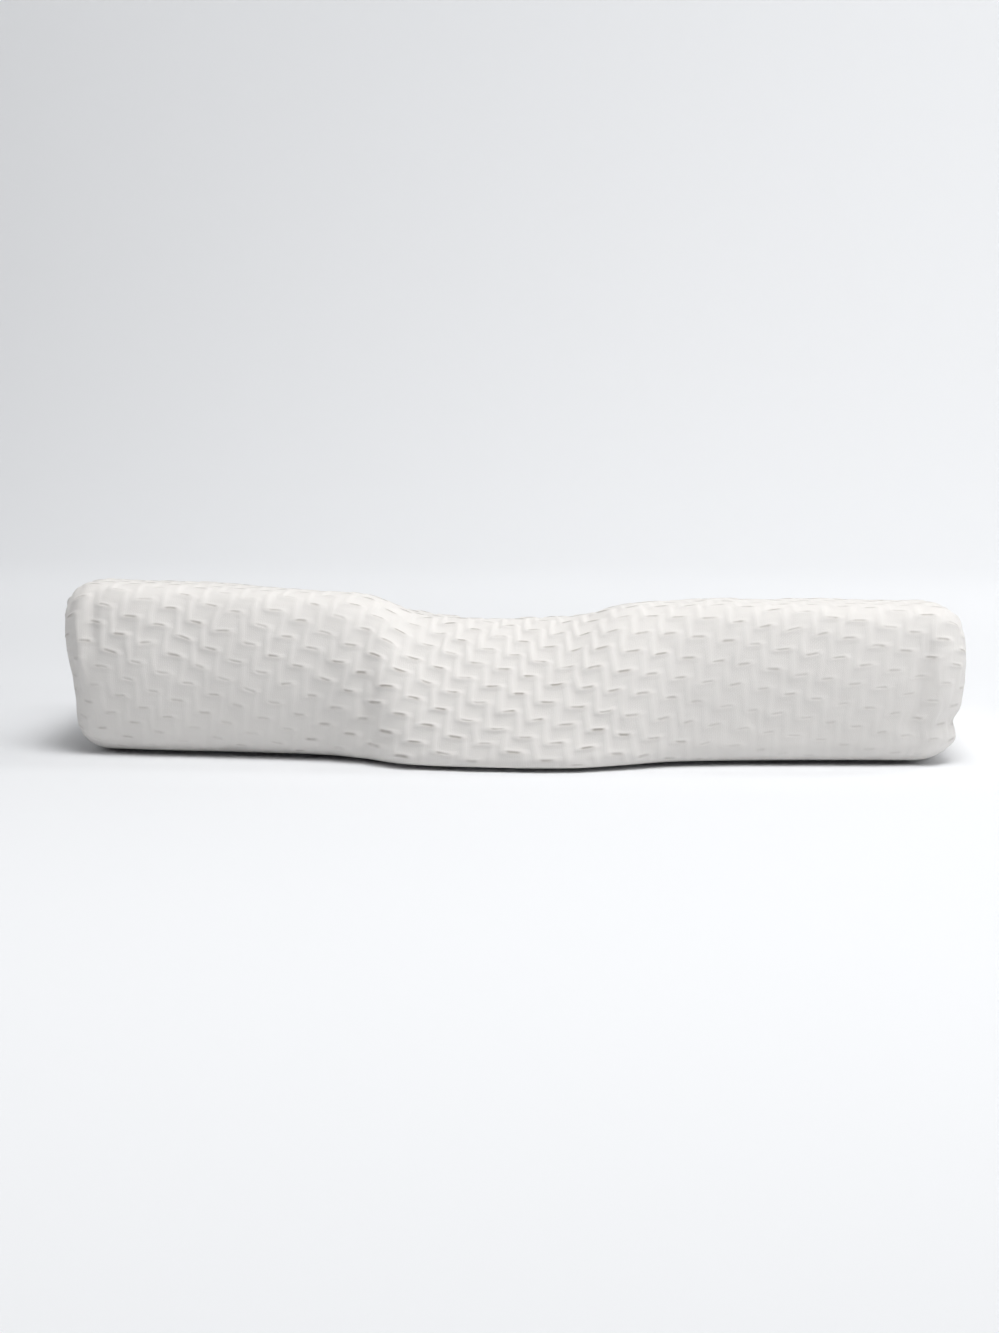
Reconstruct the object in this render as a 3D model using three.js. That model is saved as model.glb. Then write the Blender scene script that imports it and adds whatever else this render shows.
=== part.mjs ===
// Cervical pillow: one contoured filling in one sewn knit cover, as a single closed form.
// X runs along the length, -Y is the neck side, +Z is up. The origin is on the floor, under the middle.

import * as THREE from "three";

// Driving sizes in millimetres.
const LENGTH = 600;
const DEPTH = 350;

// The closed section across the pillow.
const REAR_FOOT = 12; // radius between the underside and the rear wall
const WALL_CROWN = 2.5; // how far the front and rear walls draw in from half height to floor and top
const LEAN_REACH = 0.7; // share of the height up to which the front wall leans out over its foot
const REAR_SETBACK = 36; // run of the rounded upper rear edge
const REAR_SQUARENESS = 2.6; // 2 is an ellipse, more is squarer
const REAR_BOW = 12; // how far the rear wall's ends lie forward of its middle

// The two ends.
const END_RUN = 25; // length over which an end rounds off
const END_TURN = 80; // degrees that this rounding turns through before the domed end face
const END_PLAN = 27; // how far the front and rear walls draw in at an end
const END_TOP = 20; // how far the top draws in at an end
const END_FLOOR = 10; // how far the underside lifts at an end
const END_DOME = 5; // swell of the end face

// How the left and the right end draw in toward the floor. from: the height where this starts. depth: how
// far the foot lies in. sweep: 1 is a straight slope, more is hollower.
const LEFT_END = { from: 95, depth: 11, sweep: 1.15 };
const RIGHT_END = { from: 84, depth: 12, sweep: 1.6 };

// Sections along the length, smoothly joined. reach: how far the neck side stands forward of the two
// corners. crest: height of the neck roll or wing. setback: run from the front wall back to the crest.
// square: squareness of the upper front edge. foot: radius of the front wall's foot. lean: how far that
// foot lies behind the wall. dip: depth of the head hollow. rim: height of the rear edge.
const SECTIONS = [
  { x: -300, reach: 0, crest: 114, setback: 40, square: 4.6, foot: 12, lean: 5, dip: 0, rim: 86 },
  { x: -235, reach: 6, crest: 112, setback: 40, square: 4.6, foot: 12, lean: 5, dip: 0, rim: 86 },
  { x: -170, reach: 10, crest: 109.3, setback: 41, square: 4.4, foot: 12, lean: 5, dip: 1, rim: 85 },
  { x: -115, reach: 15, crest: 107, setback: 45, square: 3.6, foot: 11, lean: 4.5, dip: 6, rim: 80.5 },
  { x: -88, reach: 25, crest: 102.7, setback: 52, square: 2.7, foot: 9, lean: 3, dip: 12, rim: 73.5 },
  { x: -60, reach: 36, crest: 93, setback: 60, square: 1.9, foot: 7, lean: 1, dip: 19, rim: 69.5 },
  { x: 0, reach: 39, crest: 91, setback: 64, square: 1.7, foot: 6, lean: 0, dip: 25, rim: 62 },
  { x: 45, reach: 37, crest: 94, setback: 62, square: 1.8, foot: 7, lean: 0, dip: 21, rim: 65 },
  { x: 75, reach: 27, crest: 101.5, setback: 55, square: 2.2, foot: 8, lean: 1, dip: 16, rim: 71 },
  { x: 105, reach: 16, crest: 103.3, setback: 47, square: 3, foot: 9, lean: 2.5, dip: 9, rim: 77 },
  { x: 150, reach: 9, crest: 103.8, setback: 41, square: 4.2, foot: 10, lean: 3.5, dip: 2, rim: 81 },
  { x: 210, reach: 4, crest: 103.3, setback: 40, square: 4.6, foot: 10, lean: 4, dip: 0, rim: 82 },
  { x: 300, reach: 0, crest: 102.5, setback: 40, square: 4.6, foot: 10, lean: 4, dip: 0, rim: 82 },
];

// Soft upright folds in the front wall, near the ends. lean: how far the fold's top lies toward +X of its
// foot. low and high: the heights between which it shows.
const FOLDS = [
  { x: -279, lean: 9, low: 60, high: 118, width: 7, depth: 2.2 },
  { x: 274, lean: 2, low: 6, high: 78, width: 7, depth: 2 },
];

// Steps of the mesh: round the section, and along the length.
const FLOOR_STEPS = 4;
const FRONT_STEPS = 16;
const TOP_STEPS = 15;
const REAR_STEPS = 9;
const UNDER_STEPS = 7;
const LENGTH_STEPS = 58;
const END_STEPS = 5;
const DOME_STEPS = 4;

const QUARTER = Math.PI / 2;
const FRONT_CORNER = -DEPTH / 2 + Math.max(...SECTIONS.map((row) => row.reach));

// Value of one column of SECTIONS at x, as a cubic through the rows.
function sizeAt(x, column) {
  const last = SECTIONS.length - 1;
  const place = SECTIONS.findIndex((row) => row.x > x);
  const i = place < 0 ? last - 1 : Math.max(place - 1, 0);
  const row = (k) => SECTIONS[Math.min(Math.max(k, 0), last)];
  const rise = (a, b) => (row(b)[column] - row(a)[column]) / (row(b).x - row(a).x);
  const slope = (k) => (k <= 0 || k >= last ? 0 : rise(k - 1, k + 1));
  const span = row(i + 1).x - row(i).x;
  const t = Math.min(Math.max((x - row(i).x) / span, 0), 1);
  const bend = t * t * (3 - 2 * t);
  return (
    row(i)[column] * (1 - bend) +
    row(i + 1)[column] * bend +
    slope(i) * span * t * (1 - t) ** 2 -
    slope(i + 1) * span * t * t * (1 - t)
  );
}

// How far a wall of the height given stands back at height z, from its crown and its lean.
function inset(z, top, lean = 0) {
  const low = Math.max(0, 1 - z / (LEAN_REACH * top));
  return WALL_CROWN * Math.cos(Math.PI * Math.min(z / top, 1)) ** 2 + lean * low ** 2;
}

// Points of a superellipse quarter from upright at its foot to level at its top: [run, rise] in 0..1.
function edge(squareness, steps) {
  const power = 2 / squareness;
  return Array.from({ length: steps + 1 }, (_, k) => {
    const angle = (k / steps) * QUARTER;
    return [1 - Math.cos(angle) ** power, Math.sin(angle) ** power];
  });
}

// The closed section at x, as [y, z] from the underside round by the front, over the top and down the rear.
function section(x) {
  const front = FRONT_CORNER - sizeAt(x, "reach");
  const rear = DEPTH / 2 - REAR_BOW * (x / (LENGTH / 2)) ** 2;
  const crest = sizeAt(x, "crest");
  const rim = sizeAt(x, "rim");
  const dip = sizeAt(x, "dip");
  const setback = sizeAt(x, "setback");
  const foot = sizeAt(x, "foot");
  const lean = sizeAt(x, "lean");
  const points = [];

  for (let k = 0; k < FLOOR_STEPS; k++) {
    const angle = (k / FLOOR_STEPS) * QUARTER;
    const z = foot * (1 - Math.cos(angle));
    points.push([front + foot * (1 - Math.sin(angle)) + inset(z, crest, lean), z]);
  }
  for (const [run, rise] of edge(sizeAt(x, "square"), FRONT_STEPS)) {
    const z = foot + rise * (crest - foot);
    points.push([front + run * setback + inset(z, crest, lean) * (1 - run), z]);
  }
  const crestY = front + setback;
  const rimY = rear - REAR_SETBACK;
  for (let k = 1; k < TOP_STEPS; k++) {
    const t = k / TOP_STEPS;
    const fall = (crest - rim) * t * t * (3 - 2 * t);
    points.push([crestY + t * (rimY - crestY), crest - fall - dip * Math.sin(Math.PI * t) ** 2]);
  }
  for (const [run, rise] of edge(REAR_SQUARENESS, REAR_STEPS).reverse()) {
    const z = REAR_FOOT + rise * (rim - REAR_FOOT);
    points.push([rear - run * REAR_SETBACK - inset(z, rim) * (1 - run), z]);
  }
  for (let k = FLOOR_STEPS - 1; k >= 0; k--) {
    const angle = (k / FLOOR_STEPS) * QUARTER;
    const z = REAR_FOOT * (1 - Math.cos(angle));
    points.push([rear - REAR_FOOT * (1 - Math.sin(angle)) - inset(z, rim), z]);
  }
  const [underRear, underFront] = [points.at(-1)[0], points[0][0]];
  for (let k = 1; k < UNDER_STEPS; k++) {
    points.push([mix(underRear, underFront, k / UNDER_STEPS), 0]);
  }
  return points;
}

// A section near an end: its walls, top and underside drawn in by the share 0..1 of the end's rounding.
function drawnIn(points, share) {
  const ys = points.map((point) => point[0]);
  const front = Math.min(...ys);
  const rear = Math.max(...ys);
  const top = Math.max(...points.map((point) => point[1]));
  const middle = (front + rear) / 2;
  const wide = 1 - (2 * END_PLAN * share) / (rear - front);
  const tall = 1 - ((END_TOP + END_FLOOR) * share) / top;
  return points.map(([y, z]) => [middle + (y - middle) * wide, END_FLOOR * share + z * tall]);
}

// Rings of the mesh from one end to the other, each a list of [x, y, z].
function rings() {
  const turn = THREE.MathUtils.degToRad(END_TURN);
  const faceX = LENGTH / 2 - END_DOME;
  const straightX = faceX - END_RUN * Math.sin(turn);
  const half = [];
  for (let k = 1; k < DOME_STEPS; k++) {
    half.push({ x: faceX, share: 1 - Math.cos(turn), size: k / DOME_STEPS });
  }
  for (let k = END_STEPS; k > 0; k--) {
    const angle = (k / END_STEPS) * turn;
    half.push({ x: straightX + END_RUN * Math.sin(angle), share: 1 - Math.cos(angle), size: 1 });
  }
  const left = half.map((ring) => ({ ...ring, x: -ring.x }));
  const middle = Array.from({ length: LENGTH_STEPS + 1 }, (_, k) => ({
    x: straightX * ((2 * k) / LENGTH_STEPS - 1),
    share: 0,
    size: 1,
  }));
  return [...left, ...middle, ...half.reverse()].map(({ x, share, size }) => {
    const points = drawnIn(section(x), share);
    const face = endFace(points);
    const domed = Math.abs(x) >= faceX ? END_DOME * Math.sign(x) : 0;
    return points.map(([y, z]) => {
      const across = ((y - face.y) / face.halfWide) * size;
      const up = ((z - face.z) / face.halfTall) * size;
      const swell = domed * (1 - across * across) * (1 - up * up);
      return [x + swell, face.y + across * face.halfWide, face.z + up * face.halfTall];
    });
  });
}

function mix(from, to, share) {
  return from + (to - from) * share;
}

// The middle and half sizes of the box round a section.
function endFace(points) {
  const ys = points.map((point) => point[0]);
  const zs = points.map((point) => point[1]);
  const [front, rear, floor, top] = [Math.min(...ys), Math.max(...ys), Math.min(...zs), Math.max(...zs)];
  return {
    y: (front + rear) / 2,
    z: (floor + top) / 2,
    halfWide: (rear - front) / 2,
    halfTall: (top - floor) / 2,
  };
}

// The last shaping of a point: the ends lean in toward the floor, and the folds press into the front wall.
function shaped(x, y, z) {
  const end = x < 0 ? LEFT_END : RIGHT_END;
  const nearEnd = Math.max(0, Math.abs(x) / (LENGTH / 2) - 0.5) * 2;
  const inward = end.depth * Math.max(0, 1 - z / end.from) ** end.sweep * nearEnd;
  let pressed = 0;
  for (const fold of FOLDS) {
    const climb = (z - fold.low) / (fold.high - fold.low);
    if (y > FRONT_CORNER + END_PLAN || climb <= 0 || climb >= 1) continue;
    const off = (x - fold.x - fold.lean * climb) / fold.width;
    pressed += fold.depth * Math.exp(-off * off) * Math.sin(Math.PI * climb);
  }
  return [x - Math.sign(x) * inward, y + pressed, z];
}

// The closed mesh: the rings joined by quads, and each end closed on one middle point.
function pillowGeometry() {
  const loops = rings();
  const around = loops[0].length;
  const positions = loops.flat().flatMap((point) => shaped(...point));
  const triangles = [];
  for (let i = 0; i < loops.length - 1; i++) {
    for (let j = 0; j < around; j++) {
      const a = i * around + j;
      const b = i * around + ((j + 1) % around);
      triangles.push(a, a + around, b, b, a + around, b + around);
    }
  }
  const closeEnd = (side, first) => {
    const face = endFace(loops[first / around].map((point) => point.slice(1)));
    const tip = positions.length / 3;
    positions.push(...shaped((side * LENGTH) / 2, face.y, face.z));
    for (let j = 0; j < around; j++) {
      const a = first + j;
      const b = first + ((j + 1) % around);
      triangles.push(tip, side < 0 ? a : b, side < 0 ? b : a);
    }
  };
  closeEnd(-1, 0);
  closeEnd(1, (loops.length - 1) * around);
  const geometry = new THREE.BufferGeometry();
  geometry.setAttribute("position", new THREE.Float32BufferAttribute(positions, 3));
  geometry.setIndex(triangles);
  return fitted(geometry);
}

// The mesh at its full length and depth, with the middle of its underside on the origin.
function fitted(geometry) {
  geometry.computeBoundingBox();
  const size = geometry.boundingBox.getSize(new THREE.Vector3());
  const middle = geometry.boundingBox.getCenter(new THREE.Vector3());
  geometry.translate(-middle.x, -middle.y, -geometry.boundingBox.min.z);
  geometry.scale(LENGTH / size.x, DEPTH / size.y, 1);
  geometry.computeVertexNormals();
  return geometry;
}

const cover = new THREE.MeshStandardMaterial({ color: 0xf1f0ec, roughness: 0.92, metalness: 0 });
const pillow = new THREE.Mesh(pillowGeometry(), cover);
pillow.name = "pillow";

const part = new THREE.Group();
part.add(pillow);

export default part;
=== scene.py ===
"""Cervical pillow: a contoured foam pillow in a white quilted knit cover, on a pale studio floor."""

import math

import bpy
import numpy as np
from mathutils import Matrix


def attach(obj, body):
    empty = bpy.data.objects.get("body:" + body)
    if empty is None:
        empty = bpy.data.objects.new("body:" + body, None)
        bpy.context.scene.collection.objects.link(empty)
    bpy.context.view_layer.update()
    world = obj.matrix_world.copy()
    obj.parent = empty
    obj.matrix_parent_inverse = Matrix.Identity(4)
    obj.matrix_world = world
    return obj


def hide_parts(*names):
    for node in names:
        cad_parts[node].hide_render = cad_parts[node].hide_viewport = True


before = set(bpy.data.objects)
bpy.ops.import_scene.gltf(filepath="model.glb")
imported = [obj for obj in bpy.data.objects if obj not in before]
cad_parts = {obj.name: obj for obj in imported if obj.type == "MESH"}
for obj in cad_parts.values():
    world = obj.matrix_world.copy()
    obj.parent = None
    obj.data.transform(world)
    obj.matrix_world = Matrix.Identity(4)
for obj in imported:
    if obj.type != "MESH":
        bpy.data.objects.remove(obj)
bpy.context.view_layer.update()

# Studio camera. It stands a little to the right of the pillow's middle and just above it, as in the
# photograph: a long lens, 1.4 m from the neck side, looking slightly down.
CAMERA_AT = (0.083, -1.576, 0.232)
CAMERA_DOWN = 6.66  # degrees below level
CAMERA_LEFT = 3.52  # degrees turned left of +Y
CAMERA_ROLL = 0.25  # degrees that its right side is held high
FRAME_TALL = 1333  # pixels of the photograph's longer side
FOCAL_PIXELS = 2250  # focal length in those pixels
SENSOR_MM = 36
NEAREST = 0.02  # metres from the lens at which the picture starts

lens = bpy.data.cameras.new("camera")
lens.sensor_width = SENSOR_MM
lens.lens = FOCAL_PIXELS / FRAME_TALL * SENSOR_MM
lens.clip_start = NEAREST
camera = bpy.data.objects.new("camera", lens)
camera.location = CAMERA_AT
camera.rotation_euler = (
    Matrix.Rotation(math.radians(CAMERA_LEFT), 3, "Z")
    @ Matrix.Rotation(math.radians(90 - CAMERA_DOWN), 3, "X")
    @ Matrix.Rotation(math.radians(CAMERA_ROLL), 3, "Z")
).to_euler()
bpy.context.collection.objects.link(camera)
bpy.context.scene.camera = camera

# Studio light. Two soft panels high over the front light the top and the neck side, a low panel on the
# right picks out the quilting, a weak one fills the left, and three panels behind light the backdrop.
STAND = (0, 0, 0.06)  # middle of the pillow
BEFORE_STAND = (0, -0.7, 0)  # a place on the floor between it and the camera
# Each panel: where it hangs, its two sides in metres, its power in watts, and the place it faces.
LIGHTS = {
    "front": ((0.3, -0.9, 1.7), (1.2, 0.8), 16.6, BEFORE_STAND),
    "high": ((0.2, -0.55, 1.9), (1.2, 0.6), 14.6, BEFORE_STAND),
    "side": ((1.5, -0.45, 0.6), (0.6, 0.6), 5.2, STAND),
    "left": ((-1.3, -0.8, 1.0), (0.9, 0.8), 3.2, STAND),
    "backdrop_right": ((1.6, 0.9, 1.9), (1.6, 1.6), 41.3, (0.6, 3.0, 0.5)),
    "backdrop_left": ((-1.4, 1.0, 2.0), (1.4, 1.4), 16.0, (-0.9, 3.0, 0.9)),
    "backdrop_low": ((-0.1, 1.3, 1.1), (1.2, 0.4), 2.3, (-0.1, 1.95, 0.05)),
}
ROOM_COLOUR = (0.95, 0.96, 1.0, 1)
ROOM_STRENGTH = 0.09


def point_at(obj, target):
    """Turn obj so that its -Z axis runs from where it stands to the target."""
    away = np.array(obj.location) - np.array(target)
    run = math.hypot(away[0], away[1])
    obj.rotation_euler = (math.atan2(run, away[2]), 0, math.atan2(away[1], away[0]) + math.pi / 2)


for name, (place, sides, power, target) in LIGHTS.items():
    panel = bpy.data.lights.new(name, "AREA")
    panel.shape = "RECTANGLE"
    panel.size, panel.size_y = sides
    panel.energy = power
    lamp = bpy.data.objects.new(name, panel)
    lamp.location = place
    point_at(lamp, target)
    bpy.context.collection.objects.link(lamp)

room = bpy.data.worlds.new("room")
room.use_nodes = True
room.node_tree.nodes["Background"].inputs["Color"].default_value = ROOM_COLOUR
room.node_tree.nodes["Background"].inputs["Strength"].default_value = ROOM_STRENGTH
bpy.context.scene.world = room
bpy.context.scene.view_settings.view_transform = "Standard"

# Floor and backdrop. One seamless sheet of white paper: flat under the pillow, then curving up far
# behind it, so no horizon shows.
FLOOR_HALF = 6.0  # metres to each side and in front
SWEEP_FROM = 1.6  # where the sheet starts to rise
SWEEP_RADIUS = 1.4
SWEEP_STEPS = 24  # faces round the curve
SWEEP_TOP = 4.0  # height of the upright part behind it
PAPER = (0.815, 0.825, 0.84, 1)
PAPER_ROUGHNESS = 0.95
PAPER_SHINE = 0.1


def grid_faces(rows, columns, wrap=False):
    """Quads of a grid of points stored row by row. With wrap, each row closes on its first point."""
    across = np.arange(columns if wrap else columns - 1)
    a = (np.arange(rows - 1)[:, None] * columns + across).ravel()
    b = (np.arange(rows - 1)[:, None] * columns + (across + 1) % columns).ravel()
    return np.stack([a, a + columns, b + columns, b], axis=1)


def mesh_object(name, points, faces, material):
    """A smooth-shaded object whose mesh holds the points and faces given, at the origin."""
    mesh = bpy.data.meshes.new(name)
    mesh.from_pydata([tuple(p) for p in points.tolist()], [], faces)
    mesh.polygons.foreach_set("use_smooth", np.ones(len(mesh.polygons), bool))
    mesh.materials.append(material)
    obj = bpy.data.objects.new(name, mesh)
    bpy.context.collection.objects.link(obj)
    return obj


paper = bpy.data.materials.new("paper")
paper.use_nodes = True
paper_shader = paper.node_tree.nodes["Principled BSDF"]
paper_shader.inputs["Base Color"].default_value = PAPER
paper_shader.inputs["Roughness"].default_value = PAPER_ROUGHNESS
paper_shader.inputs["Specular IOR Level"].default_value = PAPER_SHINE

turn = np.radians(np.linspace(0, 90, SWEEP_STEPS + 1))
sheet_y = np.concatenate(
    [[-FLOOR_HALF], SWEEP_FROM + SWEEP_RADIUS * np.sin(turn), [SWEEP_FROM + SWEEP_RADIUS]]
)
sheet_z = np.concatenate([[0.0], SWEEP_RADIUS * (1 - np.cos(turn)), [SWEEP_TOP]])
sheet_x = np.array([-FLOOR_HALF, FLOOR_HALF])
sheet = np.stack(
    [np.repeat(sheet_x, len(sheet_y)), np.tile(sheet_y, 2), np.tile(sheet_z, 2)], axis=1
)
floor = mesh_object("floor", sheet, grid_faces(2, len(sheet_y)).tolist(), paper)

# Pillow. One moulded foam filling in one sewn cover of white double knit: a neck roll toward the
# camera between two raised wings, with a head hollow behind it. The knit is raised in pads that step
# down the cloth like stairs, with fine grooves between them. Sizes are in millimetres.
LENGTH = 600.0
DEPTH = 350.0
WALL_CROWN = 2.5  # how far the walls draw in from half height to floor and top
REAR_FOOT = 12.0  # radius between the underside and the rear wall
REAR_SETBACK = 36.0  # run from the rear wall to where the top is level with the rear rim
REAR_SQUARENESS = 2.6  # power of the superellipse of the upper rear edge
REAR_BOW = 12.0  # how far the rear wall's middle stands behind its ends
END_RUN = 25.0  # run along the length over which a full quarter turn would round off to an end
END_TURN = math.radians(80)  # how far it turns before the end panel starts
END_PLAN = 27.0  # what a full quarter turn would draw the front and rear walls in by
END_TOP = 20.0  # the same, of the top
END_FLOOR = 10.0  # the same, of the underside
END_DOME = 5.0  # bulge of an end panel
# How the left and the right end lean in toward the floor: from what height, how far, how fast.
END_WIDEST = (95.0, 84.0)
END_UNDERCUT = (11.0, 12.0)
END_SWEEP = (1.15, 1.6)
END_FROM = 0.5  # share of the half length at which that lean and the end creases start

# Sections along the length. reach: how far the neck side stands forward of the two corners. crest:
# height of the neck roll or wing. setback: run from the front wall to the crest. square: squareness of
# the upper front edge. foot: radius at the floor. lean: how far the front wall draws in toward its foot,
# less than 0 where it comes forward. dip: depth of the head hollow. rim: height of the rear edge.
SECTIONS = {
    "x": (-300, -235, -170, -115, -88, -60, 0, 45, 75, 105, 150, 210, 300),
    "reach": (0, 6, 10, 15, 25, 36, 39, 37, 27, 16, 9, 4, 0),
    "crest": (114, 112, 109.3, 107, 102.7, 93, 91, 94, 101.5, 103.3, 103.8, 103.3, 102.5),
    "setback": (40, 40, 41, 45, 52, 60, 64, 62, 55, 47, 41, 40, 40),
    "square": (4.6, 4.6, 4.4, 3.6, 2.7, 1.9, 1.7, 1.8, 2.2, 3.0, 4.2, 4.6, 4.6),
    "foot": (17, 17, 17, 15, 12, 9, 8, 9, 11, 13, 14, 14, 14),
    "lean": (6, 6, 6, 5, 1.5, -3.5, -7.5, -7.5, -4.5, -0.5, 1.5, 3, 4),
    "dip": (0, 0, 1, 6, 12, 19, 25, 21, 16, 9, 2, 0, 0),
    "rim": (86, 86, 85, 80.5, 73.5, 69.5, 62, 65, 71, 77, 81, 82, 82),
}
LEAN_REACH = 0.7  # share of the crest's height up to which the wall leans
FOOT_STEPS = 8  # steps of a section round the radius at the floor,
EDGE_STEPS = 90  # up a wall and over its edge,
TOP_STEPS = 140  # and along the top between the two edges
# Soft upright folds in the front wall, beside the neck roll and near the ends. x: place of the lower
# tip. lean: how far to the right of it the upper tip lies. low, high: heights of the tips. width: half
# width. depth: inward, less than 0 where it bulges out.
FOLDS = (
    {"x": -86, "lean": -9, "low": -30, "high": 118, "width": 8, "depth": 3.4},
    {"x": -275, "lean": 6, "low": 52, "high": 118, "width": 4.5, "depth": 3.2},
    {"x": -284, "lean": 4, "low": 45, "high": 112, "width": 3.5, "depth": -1.6},
    {"x": -291, "lean": 3, "low": 30, "high": 108, "width": 3.5, "depth": 1.7},
    {"x": 264, "lean": 3, "low": 4, "high": 92, "width": 6.5, "depth": 3.3},
    {"x": 280, "lean": 2, "low": 2, "high": 80, "width": 6, "depth": -1.6},
)
# Level creases across the ends. end: left -1, right 1. at: height. width: half width. depth: inward,
# less than 0 where it bulges out. back: the way from the front corner at which it has faded.
CREASES = (
    {"end": -1, "at": 42, "width": 20, "depth": 2.4, "back": 340},
    {"end": 1, "at": 29, "width": 6, "depth": 3.2, "back": 110},
    {"end": 1, "at": 13, "width": 7, "depth": -2.2, "back": 110},
    {"end": 1, "at": 84, "width": 12, "depth": 1.4, "back": 160},
)
CREASE_FULL = 0.2  # share of that way over which a crease keeps its full depth
CREASE_TURN = 3  # power of the way to the end with which a crease grows round the corner
# Stair pattern of the knit, in its own steps: 3.5 mm along the length and 5.8 mm down the cloth.
STEP_ALONG = 3.5
STEP_DOWN = 5.8
REPEAT = 12  # steps along after which a row of the pattern repeats
SHIFT = 5  # steps along by which each row lies to the right of the one above
RISERS = (3, 5, 10)  # upright grooves in a row
TREAD = 3  # length of the level groove at the head of a row, from 0
# How the cloth turns the pattern, in degrees along the length. tread: how steeply its level grooves run
# downhill toward +X. riser: how far its upright grooves lean toward +X as they rise.
TURN = {
    "x": (-310, -250, -200, -110, -60, 0, 50, 110, 200, 310),
    "tread": (3, 3.5, 4, 6, 5, -2, -8, -12, -10, -6),
    "riser": (0, 3, 5, 7, 4, -1, -7, -5, -2, 0),
}
RISER_PIVOT = 60.0  # cloth above the foot at which a leaning upright keeps its place
RISER_END = 150.0  # cloth above the foot from which the lean adds no more
PAD_HEIGHT = 1.6  # rise of a full pad above a level groove
PAD_CROWN = 1.9  # how much wider than a groove a pad's crown starts
PAD_SHARE = 0.72  # share of the rise that lies at the grooves, with the rest in the crown
PAD_MEAN = 0.33  # mean depth of both, taken off so that the pads keep the form's size
OVERHANG_MM = 1.1  # half width of a level groove on its upper side, where a pad hangs over it
SLOPE_MM = 2.1  # half width of a level groove on its lower side
RISER_LEFT = 2.2  # half width of an upright groove on its left side, where the pad rolls over
RISER_RIGHT = 0.9  # half width of an upright groove on its steep right side
TREAD_TILT = 0.055  # steps that a level groove falls in each step toward +X
RISER_SHARE = 0.72  # depth of an upright groove against a level one


def cubic_through(columns, name, x):
    """Value at x of a named column: a cubic between rows, level at both ends, whose slope at each row
    is that of the chord between its neighbours."""
    at, value = np.array(columns["x"], float), np.array(columns[name], float)
    slope = np.zeros(len(at))
    slope[1:-1] = (value[2:] - value[:-2]) / (at[2:] - at[:-2])
    i = np.clip(np.searchsorted(at, x, side="right") - 1, 0, len(at) - 2)
    span = at[i + 1] - at[i]
    t = np.clip((x - at[i]) / span, 0, 1)
    bend = t * t * (3 - 2 * t)
    return (
        value[i] * (1 - bend)
        + value[i + 1] * bend
        + slope[i] * span * t * (1 - t) ** 2
        - slope[i + 1] * span * t * t * (1 - t)
    )


def wall_sections(x, share):
    """Upper outlines of the pillow, one for each x: from the underside's front edge, round the floor
    radius, up the front, over the top and down the rear to the underside again. Quarter circles at the
    floor, superellipse quarters at the upper edges, and between these a cosine dip on a smooth fall.
    share 0..1 draws the outline in toward an end. Returns y and z, a row for each x."""
    size = {name: cubic_through(SECTIONS, name, x)[:, None] for name in SECTIONS if name != "x"}
    corner = -DEPTH / 2 + max(SECTIONS["reach"])
    front = corner - size["reach"]
    rear = (DEPTH / 2 - REAR_BOW * (x / (LENGTH / 2)) ** 2)[:, None]
    quarter = np.linspace(0, math.pi / 2, FOOT_STEPS + 1)[:-1]
    steep = np.linspace(0, math.pi / 2, EDGE_STEPS + 1)

    def inset(z, top, lean=0):
        low = np.maximum(0, 1 - z / (LEAN_REACH * top))
        return WALL_CROWN * np.cos(math.pi * np.minimum(z / top, 1)) ** 2 + lean * low**2

    def edge(square):
        power = 2 / square
        return 1 - np.cos(steep).clip(0) ** power, np.sin(steep) ** power

    foot = size["foot"] * (1 - np.cos(quarter))
    heel = REAR_FOOT * (1 - np.cos(quarter)) + 0 * front
    run, rise = edge(size["square"])
    wall = size["foot"] + rise * (size["crest"] - size["foot"])
    back_run, back_rise = (v[:, ::-1] + 0 * front for v in edge(np.array([[REAR_SQUARENESS]])))
    back_wall = REAR_FOOT + back_rise * (size["rim"] - REAR_FOOT)
    t = np.linspace(0, 1, TOP_STEPS + 1)[None, 1:-1]
    crest_y, rim_y = front + size["setback"], rear - REAR_SETBACK
    fall = (size["crest"] - size["rim"]) * t * t * (3 - 2 * t)
    y = [
        front + size["foot"] * (1 - np.sin(quarter)) + inset(foot, size["crest"], size["lean"]),
        front + run * size["setback"] + inset(wall, size["crest"], size["lean"]) * (1 - run),
        crest_y + t * (rim_y - crest_y),
        rear - back_run * REAR_SETBACK - inset(back_wall, size["rim"]) * (1 - back_run),
        (rear - REAR_FOOT * (1 - np.sin(quarter)) - inset(heel, size["rim"]))[:, ::-1],
    ]
    top = size["crest"] - fall - size["dip"] * np.sin(math.pi * t) ** 2
    z = [foot, wall, top, back_wall, heel[:, ::-1]]
    y, z = np.concatenate(y, axis=1), np.concatenate(z, axis=1)
    middle = (y.min(1, keepdims=True) + y.max(1, keepdims=True)) / 2
    deep = np.ptp(y, axis=1, keepdims=True)
    tall = z.max(1, keepdims=True)
    share = share[:, None]
    y = middle + (y - middle) * (1 - 2 * END_PLAN * share / deep)
    z = END_FLOOR * share + z * (1 - (END_TOP + END_FLOOR) * share / tall)
    return y, z


def smooth_step(value, low, high):
    """0 below low, 1 above high, and a cubic with level ends between them."""
    t = np.clip((value - low) / (high - low), 0, 1)
    return t * t * (3 - 2 * t)


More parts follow.
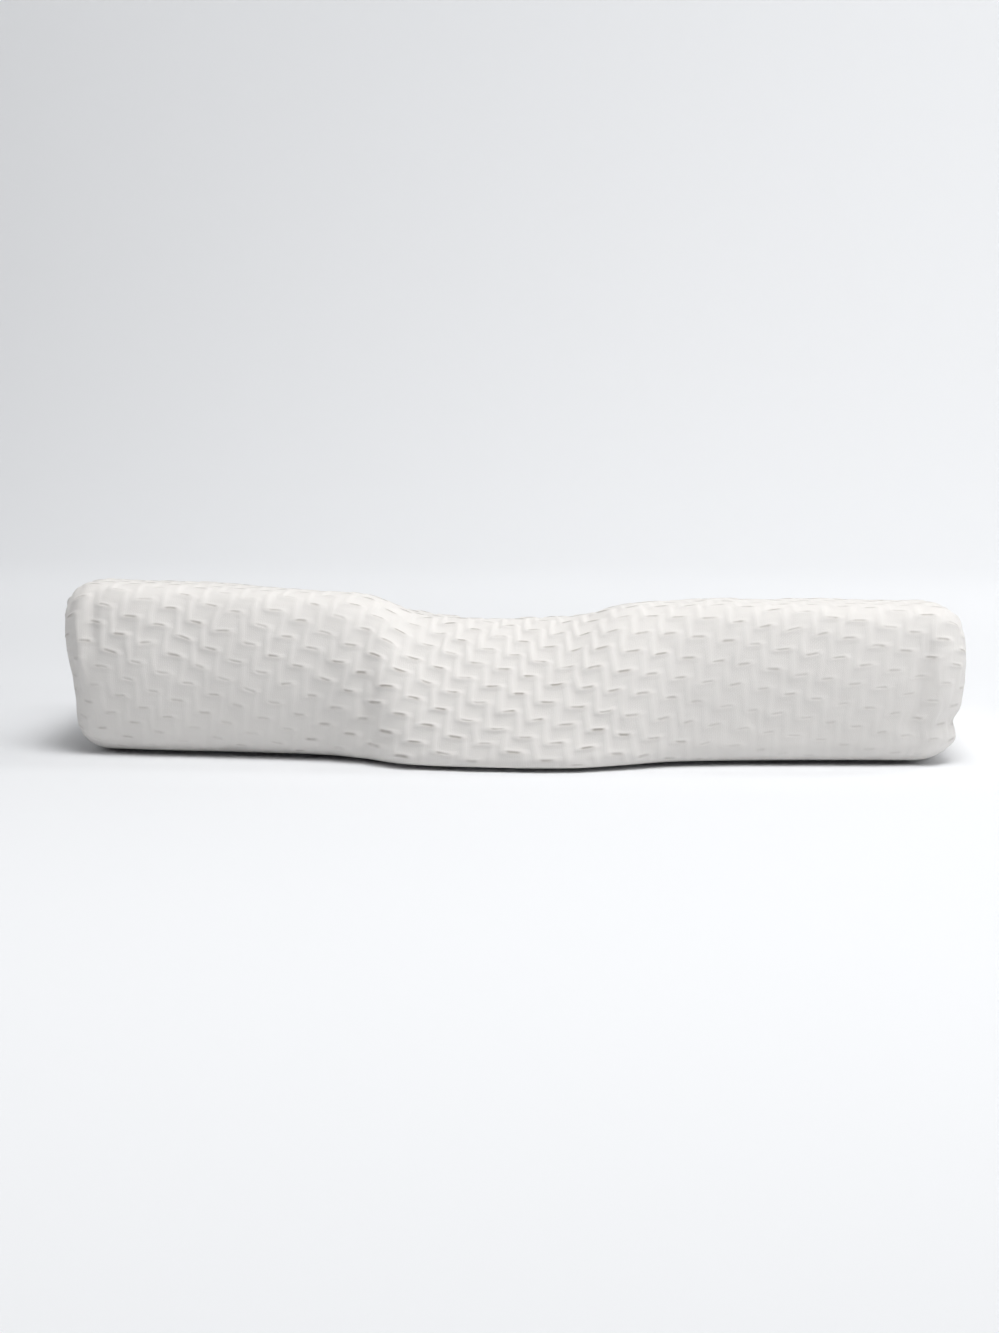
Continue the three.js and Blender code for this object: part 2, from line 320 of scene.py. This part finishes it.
def shaped(points):
    """Points after the ends lean in toward the floor, creases cross them and the folds press into the
    front wall: an inward move that grows with a power of the depth below the widest height, and troughs
    of bell section that fade toward the rear or toward their two tips."""
    x, y, z = points[..., 0], points[..., 1], points[..., 2]
    sides = (END_WIDEST, END_UNDERCUT, END_SWEEP)
    widest, undercut, sweep = (np.where(x < 0, *left_right) for left_right in sides)
    low = np.maximum(0, 1 - z / widest)
    near_end = np.maximum(0, np.abs(x) / (LENGTH / 2) - END_FROM) / (1 - END_FROM)
    moved = points.copy()
    moved[..., 0] -= np.sign(x) * undercut * low**sweep * near_end
    from_front = y + DEPTH / 2 - max(SECTIONS["reach"]) - END_PLAN
    for crease in CREASES:
        fade = 1 - smooth_step(from_front, CREASE_FULL * crease["back"], crease["back"])
        bell = np.exp(-(((z - crease["at"]) / crease["width"]) ** 2))
        inward = crease["end"] * (x * crease["end"] > 0) * crease["depth"]
        moved[..., 0] -= inward * bell * near_end**CREASE_TURN * fade
    on_front = y < -DEPTH / 2 + max(SECTIONS["reach"]) + END_PLAN
    for fold in FOLDS:
        climb = np.clip((z - fold["low"]) / (fold["high"] - fold["low"]), 0, 1)
        off = (x - fold["x"] - fold["lean"] * climb) / fold["width"]
        moved[..., 1] += on_front * fold["depth"] * np.exp(-off * off) * np.sin(math.pi * climb)
    return moved


# The smooth form as a table of points: a row about each millimetre of cloth along the length, round
# both ends, and columns at even shares of the way over the top between the underside's two edges.
face_x = LENGTH / 2 - END_DOME
straight_x = face_x - END_RUN * math.sin(END_TURN)
reach_along = straight_x + END_RUN * END_TURN  # cloth from the middle to where an end face starts
ROWS, COLUMNS = 613, 700
along = np.linspace(-reach_along, reach_along, ROWS)
bent = np.maximum(np.abs(along) - straight_x, 0) / END_RUN
row_x = np.sign(along) * (np.minimum(np.abs(along), straight_x) + END_RUN * np.sin(bent))
row_y, row_z = wall_sections(row_x, 1 - np.cos(bent))
cloth = np.concatenate(
    [np.zeros((len(along), 1)), np.cumsum(np.hypot(np.diff(row_y), np.diff(row_z)), axis=1)], axis=1
)
OVER = float(cloth[:, -1:].mean())  # mean way over the top, in millimetres of cloth
even = np.linspace(0, 1, COLUMNS)
table = np.stack(
    [
        np.repeat(row_x[:, None], COLUMNS, axis=1),
        np.stack([np.interp(even, c / c[-1], y) for c, y in zip(cloth, row_y)]),
        np.stack([np.interp(even, c / c[-1], z) for c, z in zip(cloth, row_z)]),
    ],
    axis=2,
)
table = shaped(table)
lean_along, lean_over = np.gradient(table, axis=0), np.gradient(table, axis=1)
outward = np.cross(lean_over, lean_along)
outward /= np.linalg.norm(outward, axis=2, keepdims=True)


def sample(values, at_along, at_over):
    """Values of a table at places given in millimetres of cloth along the length and 0..1 over the
    top, by a weighted mean of the four nearest entries. A place stays just short of the last row and
    column, so that there is always an entry after it."""
    i = np.clip((at_along - along[0]) / (along[1] - along[0]), 0, ROWS - 1.001)
    j = np.clip(at_over * (COLUMNS - 1), 0, COLUMNS - 1.001)
    i0, j0 = i.astype(int), j.astype(int)
    u, v = (i - i0)[..., None], (j - j0)[..., None]
    return (
        values[i0, j0] * (1 - u) * (1 - v)
        + values[i0 + 1, j0] * u * (1 - v)
        + values[i0, j0 + 1] * (1 - u) * v
        + values[i0 + 1, j0 + 1] * u * v
    )


def groove_depth(across, down, spread=1.0):
    """Depth 0..1 of the stair pattern's grooves at pattern steps across and down. In each row, shifted
    by SHIFT from the one above, uprights stand at RISERS, and a level groove lies at the head from 0 to
    TREAD. The depth falls with the distance to a groove as a bell, narrower above a level groove and
    right of an upright one."""
    row = np.floor(down)
    inside = down - row
    place = np.mod(across - SHIFT * row, REPEAT)
    aside = (np.mod(place[..., None] - RISERS + REPEAT / 2, REPEAT) - REPEAT / 2) * STEP_ALONG
    upright = np.where(aside < 0, -aside / RISER_LEFT, aside / RISER_RIGHT).min(axis=-1)

    def level(middle, gap, tilt):
        beside = np.mod(place - middle + REPEAT / 2, REPEAT) - REPEAT / 2
        past = np.maximum(np.abs(beside) - TREAD / 2, 0) * STEP_ALONG
        return np.hypot(past, (gap - tilt * beside) * STEP_DOWN)

    below = level(TREAD / 2, inside, TREAD_TILT) / (SLOPE_MM * spread)
    above = level(TREAD / 2 + SHIFT, 1 - inside, -TREAD_TILT) / (OVERHANG_MM * spread)
    beside = upright / spread
    below, above, beside = (np.exp(-(distance**2)) for distance in (below, above, beside))
    return np.maximum(np.maximum(below, above), RISER_SHARE * beside)


# Mesh lines follow the cloth's own steps, so that every groove lies on them. Lines over the top keep a
# constant pattern height, which slides along the section as the pattern slants.
LINE_AFTER = 0.35  # pattern steps from each upright groove's line to the line right of it
FINE_DOWN = 1 / 4  # pattern steps between lines on the front wall and its upper edge
COARSE_DOWN = 1 / 2  # the same on the top and the rear wall
FINE_OVER = 148.0  # millimetres of cloth over which the front lines are fine
SLIDE_STEPS = 2000  # steps along the length in which the slant adds up

slide_x = np.linspace(-reach_along, reach_along, SLIDE_STEPS + 1)
fall = np.tan(np.radians(cubic_through(TURN, "tread", slide_x)))
slide = -np.concatenate([[0], np.cumsum((fall[1:] + fall[:-1]) / 2 * np.diff(slide_x))])
slide -= slide.max()
topmost = math.floor(slide.min() / STEP_DOWN) - 1
coarse_to = math.floor((OVER + slide.min() - FINE_OVER) / STEP_DOWN)
lowest = math.ceil(OVER / STEP_DOWN) + 1
down_lines = np.concatenate(
    [np.arange(topmost, coarse_to, COARSE_DOWN), np.arange(coarse_to, lowest, FINE_DOWN)]
)[::-1]  # from below the foot of the front wall, over the top, to below the rear wall
half_lines = math.floor(reach_along / STEP_ALONG)
whole_lines = np.arange(-half_lines, half_lines + 1)
across_lines = np.sort(np.concatenate([whole_lines, whole_lines + LINE_AFTER]))
across_lines[[0, -1]] = np.array([-1, 1]) * reach_along / STEP_ALONG


def slide_at(at_along):
    """How far the pattern has slid up the cloth at a place along it, from the worked-out table."""
    return np.interp(at_along, slide_x, slide)


WAVES = 8  # sine waves in an uneven field
WAVE_LENGTHS = (0.7, 1.5)  # their shortest and longest, against the field's own size
WAVE_PEAK = 3.2  # height under which their sum mostly stays


def uneven(a, b, size, seed):
    """A smooth field of about -1 to 1 over places a and b: the sum of sine waves of seeded heading,
    phase and length, divided by the height under which it mostly stays."""
    least, most = (0, 0, WAVE_LENGTHS[0]), (math.pi, 2 * math.pi, WAVE_LENGTHS[1])
    total = np.zeros(np.broadcast(a, b).shape)
    for heading, phase, stretch in np.random.default_rng(seed).uniform(least, most, (WAVES, 3)):
        way = a * math.cos(heading) + b * math.sin(heading)
        total += np.sin(way * 2 * math.pi / (size * stretch) + phase)
    return total / WAVE_PEAK


def pad_relief(across, down):
    """Height of the padded knit over its smooth form, 0 on average: pads crowned toward their middles,
    from a narrow and a broad bell round the grooves."""
    narrow, broad = groove_depth(across, down), groove_depth(across, down, PAD_CROWN)
    return PAD_MEAN - PAD_SHARE * narrow - (1 - PAD_SHARE) * broad


# Unevenness of the cloth. mm: how far it goes. size: length of its waves. seed: of their draw. fade:
# the way from an edge in which it sets in.
STRAY_SLOW = {"mm": 0.8, "size": 34, "seeds": (11, 13)}  # grooves out of place, along and up the cloth
STRAY_QUICK = {"mm": 0.4, "size": 15, "seeds": (12, 14)}
SWELL = {"mm": 0.7, "size": 75, "seed": 4}  # of the filled form
RIPPLE = {"mm": 0.22, "size": 21, "seed": 5}
PUFF = {"share": 0.18, "size": 45, "seed": 3}  # of the pads' fullness
PANEL_SWELL = {"mm": 0.5, "size": 60, "seed": 6, "fade": 15}  # of the end panels
STRAY_FADE_ALONG = 20.0  # millimetres of cloth from an end over which the grooves come into place
STRAY_FADE_UP = 10.0  # the same, from the foot and the heel
SEAM = {"depth": 0.7, "width": 1.2}  # groove of a sewn seam
PLAIN = (0.8, 3.2)  # from a seam: where the pads start, and where they are full
EDGE_PLAIN = (2.0, 14.0)  # the same, from the foot and the heel
REAR_SEAM_UP = 17.0  # cloth from the heel to the rear seam
EDGE_LIFT = 2.5  # how far the lower edges at front and rear stand off the floor
LIFT_BACK = 16.0  # how far in from the edge the underside comes down
LIFT_TO = 32.0  # height up to which the walls rise with their lower edge
# Fullness of the pads along the length, 1 for full. The foot of the wings' front is pulled tight, so
# its pads are low. The neck roll, the top and the upper edges are full.
FULL_LOW = {
    "x": (-300, -150, -60, 60, 130, 260, 300),
    "share": (0.42, 0.42, 1.12, 1.05, 0.3, 0.3, 0.55),
}
FULL_HIGH = {"x": (-120, -60, 60, 120), "share": (0.78, 1.08, 1.08, 0.78)}
FULL_FROM, FULL_TO = 48.0, 92.0  # heights between which the one passes into the other
FULL_LIMITS = (0.15, 1.3)
PANEL_FULL = 0.75  # fullness of the pads on the end panels

u = (across_lines * STEP_ALONG)[:, None]
up = (slide_at(u) + OVER) - STEP_DOWN * down_lines[None]  # cloth above the foot of the front wall
under_cloth = STEP_DOWN * (down_lines[0] - down_lines[-1] + 1) - OVER  # pattern left for the underside
by_seam = reach_along - np.abs(u)
by_edge = np.minimum(up, OVER - up)
stray = [
    STRAY_SLOW["mm"] * uneven(u, up, STRAY_SLOW["size"], slow)
    + STRAY_QUICK["mm"] * uneven(u, up, STRAY_QUICK["size"], quick)
    for slow, quick in zip(STRAY_SLOW["seeds"], STRAY_QUICK["seeds"])
]
riser_lean = np.tan(np.radians(cubic_through(TURN, "riser", u)))
stray[0] += riser_lean * (np.clip(up, 0, RISER_END) - RISER_PIVOT)
stray_u = u + stray[0] * smooth_step(by_seam, 0, STRAY_FADE_ALONG)
stray_up = up + stray[1] * smooth_step(by_edge, 0, STRAY_FADE_UP)
over_share = np.clip(stray_up / OVER, 0, 1)
body = sample(table, stray_u, over_share)
facing = sample(outward, stray_u, over_share)
foot, heel = sample(table, u, 0 * u), sample(table, u, 0 * u + 1)
under_way = np.where(up < 0, -up, under_cloth - (up - OVER))  # pattern passed from the foot backward
beneath = (1 - np.cos(math.pi * under_way / under_cloth)) / 2
is_under = (up < 0) | (up > OVER)
body = np.where(is_under[..., None], foot + (heel - foot) * beneath[..., None], body)

# The filling is crowned underneath too, so the lower edges stand a little off the floor.
from_edge = np.minimum(body[..., 1] - foot[..., 1], heel[..., 1] - body[..., 1])
lifted = np.exp(-((np.maximum(from_edge, 0) / LIFT_BACK) ** 2))
body[..., 2] += EDGE_LIFT * (lifted * (1 - smooth_step(body[..., 2], 0, LIFT_TO)))

# Pads stand out from the form and seams press into it, along its outward direction. The underside is
# bare.
full_low, full_high = (np.interp(u, full["x"], full["share"]) for full in (FULL_LOW, FULL_HIGH))
fullness = full_low + (full_high - full_low) * smooth_step(body[..., 2], FULL_FROM, FULL_TO)
puff = 1 + PUFF["share"] * uneven(u, up, PUFF["size"], PUFF["seed"])
fullness = np.clip(fullness * puff, *FULL_LIMITS)
by_rear = np.abs(up - (OVER - REAR_SEAM_UP))
cloth_edge = smooth_step(by_edge, *EDGE_PLAIN)
plain = smooth_step(np.minimum(by_seam, by_rear), *PLAIN) * cloth_edge
offset = PAD_HEIGHT * fullness * plain * pad_relief(across_lines[:, None], down_lines[None])
offset -= SEAM["depth"] * sum(np.exp(-((by / SEAM["width"]) ** 2)) for by in (by_seam, by_rear))
offset += cloth_edge * sum(
    rise["mm"] * uneven(u, up, rise["size"], rise["seed"]) for rise in (SWELL, RIPPLE)
)
offset *= ~is_under
body = body + facing * offset[..., None]

# End panels. Rings close in from the sewn edge to a short line in the middle of each end.
END_RINGS = 18
PANEL_LINE = 0.55  # share of the end's depth that the middle line takes up
PANEL_GAP = 0.02  # share of the way to the middle line that the last ring leaves open


def end_panel(edge, side):
    """Rings of an end, from just inside its sewn edge to its middle line. Each point moves straight to
    the nearest place on that line, and bulges by the product of two parabolas across and up."""
    low, high = edge[:, 1:].min(axis=0), edge[:, 1:].max(axis=0)
    middle, half = (low + high) / 2, (high - low) / 2
    target = np.stack(
        [
            np.clip(edge[:, 1], middle[0] - PANEL_LINE * half[0], middle[0] + PANEL_LINE * half[0]),
            np.full(len(edge), middle[1]),
        ],
        axis=1,
    )
    left = np.linspace(1, PANEL_GAP, END_RINGS + 1)[1:, None, None]
    flat = target + (edge[:, 1:] - target) * left
    spot = (flat - middle) / half
    bulge = END_DOME * (1 - spot[..., 0] ** 2) * (1 - spot[..., 1] ** 2)
    rings = shaped(np.concatenate([side * (face_x + bulge)[..., None], flat], axis=2))
    inside = np.linalg.norm(edge[:, 1:] - target, axis=1) * (1 - left[..., 0])
    across, down = side * flat[..., 0] / STEP_ALONG, -flat[..., 1] / STEP_DOWN
    pads = PANEL_FULL * PAD_HEIGHT * pad_relief(across, down) * smooth_step(inside, *PLAIN)
    swell = uneven(flat[..., 0], flat[..., 1], PANEL_SWELL["size"], PANEL_SWELL["seed"])
    swell *= PANEL_SWELL["mm"] * smooth_step(inside, 0, PANEL_SWELL["fade"])
    rings[..., 0] += side * (pads + swell)
    return rings, across, down


def close_ring(ring, y):
    """Triangles across a narrow loop of points. Its two chains, from the lowest y to the highest, are
    zipped in the order of y: each step along one chain joins the point last reached on the other."""
    start = int(np.argmin(y))
    ring, y = np.roll(ring, -start), np.roll(y, -start)
    turn = int(np.argmax(y))
    one, two = ring[: turn + 1], np.concatenate([ring[:1], ring[turn:][::-1]])
    one_y = np.maximum.accumulate(y[: turn + 1])
    two_y = np.maximum.accumulate(np.concatenate([y[:1], y[turn:][::-1]]))
    on_two = two[np.searchsorted(two_y[1:], one_y[1:], side="left")]
    on_one = one[np.searchsorted(one_y[1:], two_y[1:], side="right")]
    zipped = np.concatenate(
        [np.stack([one[:-1], one[1:], on_two], axis=1), np.stack([two[1:], two[:-1], on_one], axis=1)]
    )
    return zipped[(zipped != np.roll(zipped, 1, axis=1)).all(axis=1)]


rows, columns = body.shape[:2]
ENDS = ((0, -1), ((rows - 1) * columns, 1))  # first point and side of the left and the right end's edge
panels = [end_panel(edge, side) for edge, side in ((body[0], -1), (body[-1], 1))]
points = np.concatenate([body.reshape(-1, 3)] + [rings.reshape(-1, 3) for rings, _, _ in panels])
smallest, largest = points.min(axis=0), points.max(axis=0)

body_faces = grid_faces(rows, columns, wrap=True)
faces = [body_faces]
closing = []
first = rows * columns
for start, side in ENDS:
    rings = first + np.arange(END_RINGS * columns).reshape(-1, columns)
    ids = np.concatenate([[np.arange(start, start + columns)], rings])
    nearer, farther = ids[:-1], ids[1:]
    quads = [nearer, np.roll(nearer, -1, axis=1), np.roll(farther, -1, axis=1), farther]
    quads = np.stack(quads, axis=2).reshape(-1, 4)
    faces.append(quads if side < 0 else quads[:, ::-1])
    ring = ids[-1] if side < 0 else ids[-1][::-1]
    closing.append(close_ring(ring, points[ring, 1]))
    first += END_RINGS * columns
faces = np.concatenate(faces)
closing = np.concatenate(closing)

# The box of the real pillow: LENGTH by DEPTH about the middle, standing on the floor.
MM = 0.001
scale = np.array([LENGTH, DEPTH, 1]) / np.array([*(largest - smallest)[:2], 1])
shift = np.array([*((largest + smallest) / 2)[:2], 0])
points = (points - shift) * scale * MM
points[:, 2] = np.maximum(points[:, 2], 0)

# Pattern places for the corners of each face: up the cloth on the walls and top, flat on the underside
# and across the end panels, each in whole steps of the same stairs.
on_walls = np.stack(np.broadcast_arrays(across_lines[:, None], down_lines[None]), axis=2).reshape(-1, 2)
on_flat = np.stack([points[:, 0] / MM / STEP_ALONG, -points[:, 1] / MM / STEP_DOWN], axis=1)
on_ends = np.concatenate(
    [np.zeros((rows * columns, 2))] + [np.stack([a, d], axis=2).reshape(-1, 2) for _, a, d in panels]
)
for start, side in ENDS:
    edge = slice(start, start + columns)
    on_ends[edge, 0] = side * points[edge, 1] / MM / STEP_ALONG
    on_ends[edge, 1] = -points[edge, 2] / MM / STEP_DOWN
is_flat = is_under.ravel()[body_faces].any(axis=1)[:, None, None]
pattern = [
    np.where(is_flat, on_flat[body_faces], on_walls[body_faces]),
    on_ends[faces[len(body_faces) :]],
    on_ends[closing],
]
pattern = np.concatenate([corners.reshape(-1, 2) for corners in pattern])

cover = bpy.data.materials.new("quilted_knit")
pillow = mesh_object("pillow_cover", points, faces.tolist() + closing.tolist(), cover)
places = pillow.data.uv_layers.new(name="stairs")
places.data.foreach_set("uv", pattern.ravel())
full = pillow.data.attributes.new("fullness", "FLOAT", "POINT")
on_panels = np.full(len(points) - rows * columns, PANEL_FULL)
full.data.foreach_set("value", np.concatenate([(fullness * plain).ravel(), on_panels]))

# Knit finish: matt white yarn with a slight warmth, painted shade of uneven depth along each level
# groove, fine loops, and a little unevenness of tone.
KNIT = (0.80, 0.779, 0.753, 1)
KNIT_FINISH = {
    "Roughness": 0.92,
    "Specular IOR Level": 0.25,
    "Sheen Weight": 0.12,
    "Sheen Roughness": 0.5,
}
# Painted shade: the colour the cloth is darkened to along each level groove, where a pad's edge
# overhangs it.
GROOVE_SHADE = (0.46, 0.43, 0.40, 1)
MOTTLE_TONE = (0.955, 0.955, 0.955, 1)  # what the darkest cloth is multiplied by
CREASE_MM = 0.9  # half width of the crease in a level groove
CREASE_CORE = 0.5  # pattern steps to each side of a level crease's middle at full depth
CREASE_TAPER = 0.42  # how fast it fades past that, against how fast it fades across
CREASE_BUMP = {"Strength": 0.8, "Distance": 0.6 * MM}
CREASE_ROOT = 0.5  # power of the pads' fullness with which that bump grows, so that low pads keep it
WALE_MM = 1.25  # width of a column of stitches
COURSE_MM = 0.95  # height of a row of stitches
LOOP_SHARE = 0.3  # height of the stitches against the fine noise of the yarn
WALE_SHARE = 0.4  # height of the columns against that of the stitches in them
YARN_BUMP = {"Strength": 0.4, "Distance": 0.25 * MM}
# Noise textures. Scale: waves in a metre. Detail: how many finer waves are added.
FIBRE_NOISE = {"Scale": 900, "Detail": 2}
CLOUD_NOISE = {"Scale": 22, "Detail": 3}
# The next noise and range set how deep the painted shade in each level groove is, unevenly along the
# cloth.
SHADE_NOISE = {"Scale": 75, "Detail": 1}
SHADE_RANGE = {"From Min": 0.35, "From Max": 0.65, "To Min": 0.25, "To Max": 1.0}  # darkness of a crease

cover.use_nodes = True
nodes, links = cover.node_tree.nodes, cover.node_tree.links
shader = nodes["Principled BSDF"]


def set_inputs(node, values):
    """Set the named inputs of a node."""
    for name, value in values.items():
        node.inputs[name].default_value = value


def reckon(operation, *values):
    """A Math node of the operation given on numbers or other nodes' outputs. Returns its output."""
    node = nodes.new("ShaderNodeMath")
    node.operation = operation
    for socket, value in zip(node.inputs, values):
        if isinstance(value, (int, float)):
            socket.default_value = value
        else:
            links.new(value, socket)
    return node.outputs[0]


def noise_nodes(values):
    """A noise texture over the object's own coordinates. Returns its output."""
    node = nodes.new("ShaderNodeTexNoise")
    set_inputs(node, values)
    links.new(where.outputs["Object"], node.inputs["Vector"])
    return node.outputs["Fac"]


def bump_nodes(values, height):
    """A bump node for a height reckoned by other nodes."""
    node = nodes.new("ShaderNodeBump")
    set_inputs(node, values)
    links.new(height, node.inputs["Height"])
    return node


def mix_nodes(blend_type, colour_b, factor):
    """A node that mixes a colour with colour_b by a factor reckoned by other nodes."""
    node = nodes.new("ShaderNodeMix")
    node.data_type = "RGBA"
    node.blend_type = blend_type
    node.inputs["B"].default_value = colour_b
    links.new(factor, node.inputs["Factor"])
    return node


def groove_nodes(across, down, half_width):
    """The level grooves of groove_depth, narrower and with tapered tips, reckoned by the shader from
    the two pattern places."""
    row = reckon("FLOOR", down)
    inside = reckon("SUBTRACT", down, row)
    place = reckon("SUBTRACT", across, reckon("MULTIPLY", row, SHIFT))

    def bell(square):
        return reckon("EXPONENT", reckon("DIVIDE", square, -half_width * half_width))

    def beside(middle):
        return reckon("WRAP", reckon("SUBTRACT", place, middle), REPEAT / 2, -REPEAT / 2)

    def level(middle, gap, tilt):
        past = reckon("MAXIMUM", reckon("SUBTRACT", reckon("ABSOLUTE", beside(middle)), CREASE_CORE), 0)
        wide = reckon("MULTIPLY", past, STEP_ALONG * CREASE_TAPER)
        tall = reckon("SUBTRACT", gap, reckon("MULTIPLY", beside(middle), tilt))
        tall = reckon("MULTIPLY", tall, STEP_DOWN)
        return reckon("ADD", reckon("MULTIPLY", wide, wide), reckon("MULTIPLY", tall, tall))

    below = level(TREAD / 2, inside, TREAD_TILT)
    above = level(TREAD / 2 + SHIFT, reckon("SUBTRACT", 1, inside), -TREAD_TILT)
    return bell(reckon("MINIMUM", below, above))


set_inputs(shader, KNIT_FINISH)
stairs = nodes.new("ShaderNodeUVMap")
stairs.uv_map = "stairs"
split = nodes.new("ShaderNodeSeparateXYZ")
links.new(stairs.outputs["UV"], split.inputs[0])
amount = nodes.new("ShaderNodeAttribute")
amount.attribute_name = "fullness"
# The level grooves, which carry both the painted shade and the crease bump.
groove_lines = groove_nodes(split.outputs["X"], split.outputs["Y"], CREASE_MM)
crease = reckon("MULTIPLY", groove_lines, amount.outputs["Fac"])

where = nodes.new("ShaderNodeTexCoord")
darkness = nodes.new("ShaderNodeMapRange")
set_inputs(darkness, SHADE_RANGE)
links.new(noise_nodes(SHADE_NOISE), darkness.inputs["Value"])
# Painted shade: the knit colour is mixed toward the groove's shade colour along the level grooves,
# deeper where the pads are full.
tone = mix_nodes("MIX", GROOVE_SHADE, reckon("MULTIPLY", crease, darkness.outputs["Result"]))
tone.inputs["A"].default_value = KNIT
mottle = mix_nodes("MULTIPLY", MOTTLE_TONE, noise_nodes(CLOUD_NOISE))
links.new(tone.outputs["Result"], mottle.inputs["A"])
links.new(mottle.outputs["Result"], shader.inputs["Base Color"])

wale = reckon("SINE", reckon("MULTIPLY", split.outputs["X"], 2 * math.pi * STEP_ALONG / WALE_MM))
course = reckon("SINE", reckon("MULTIPLY", split.outputs["Y"], 2 * math.pi * STEP_DOWN / COURSE_MM))
knitted = reckon("ADD", reckon("MULTIPLY", wale, course), reckon("MULTIPLY", wale, WALE_SHARE))
knitted = reckon("ADD", reckon("MULTIPLY", knitted, LOOP_SHARE), noise_nodes(FIBRE_NOISE))
yarn = bump_nodes(YARN_BUMP, knitted)
full_crease = reckon("MULTIPLY", groove_lines, reckon("POWER", amount.outputs["Fac"], CREASE_ROOT))
stitched = bump_nodes(CREASE_BUMP, full_crease)
stitched.invert = True
links.new(yarn.outputs["Normal"], stitched.inputs["Normal"])
links.new(stitched.outputs["Normal"], shader.inputs["Normal"])

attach(pillow, "root")
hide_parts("pillow")
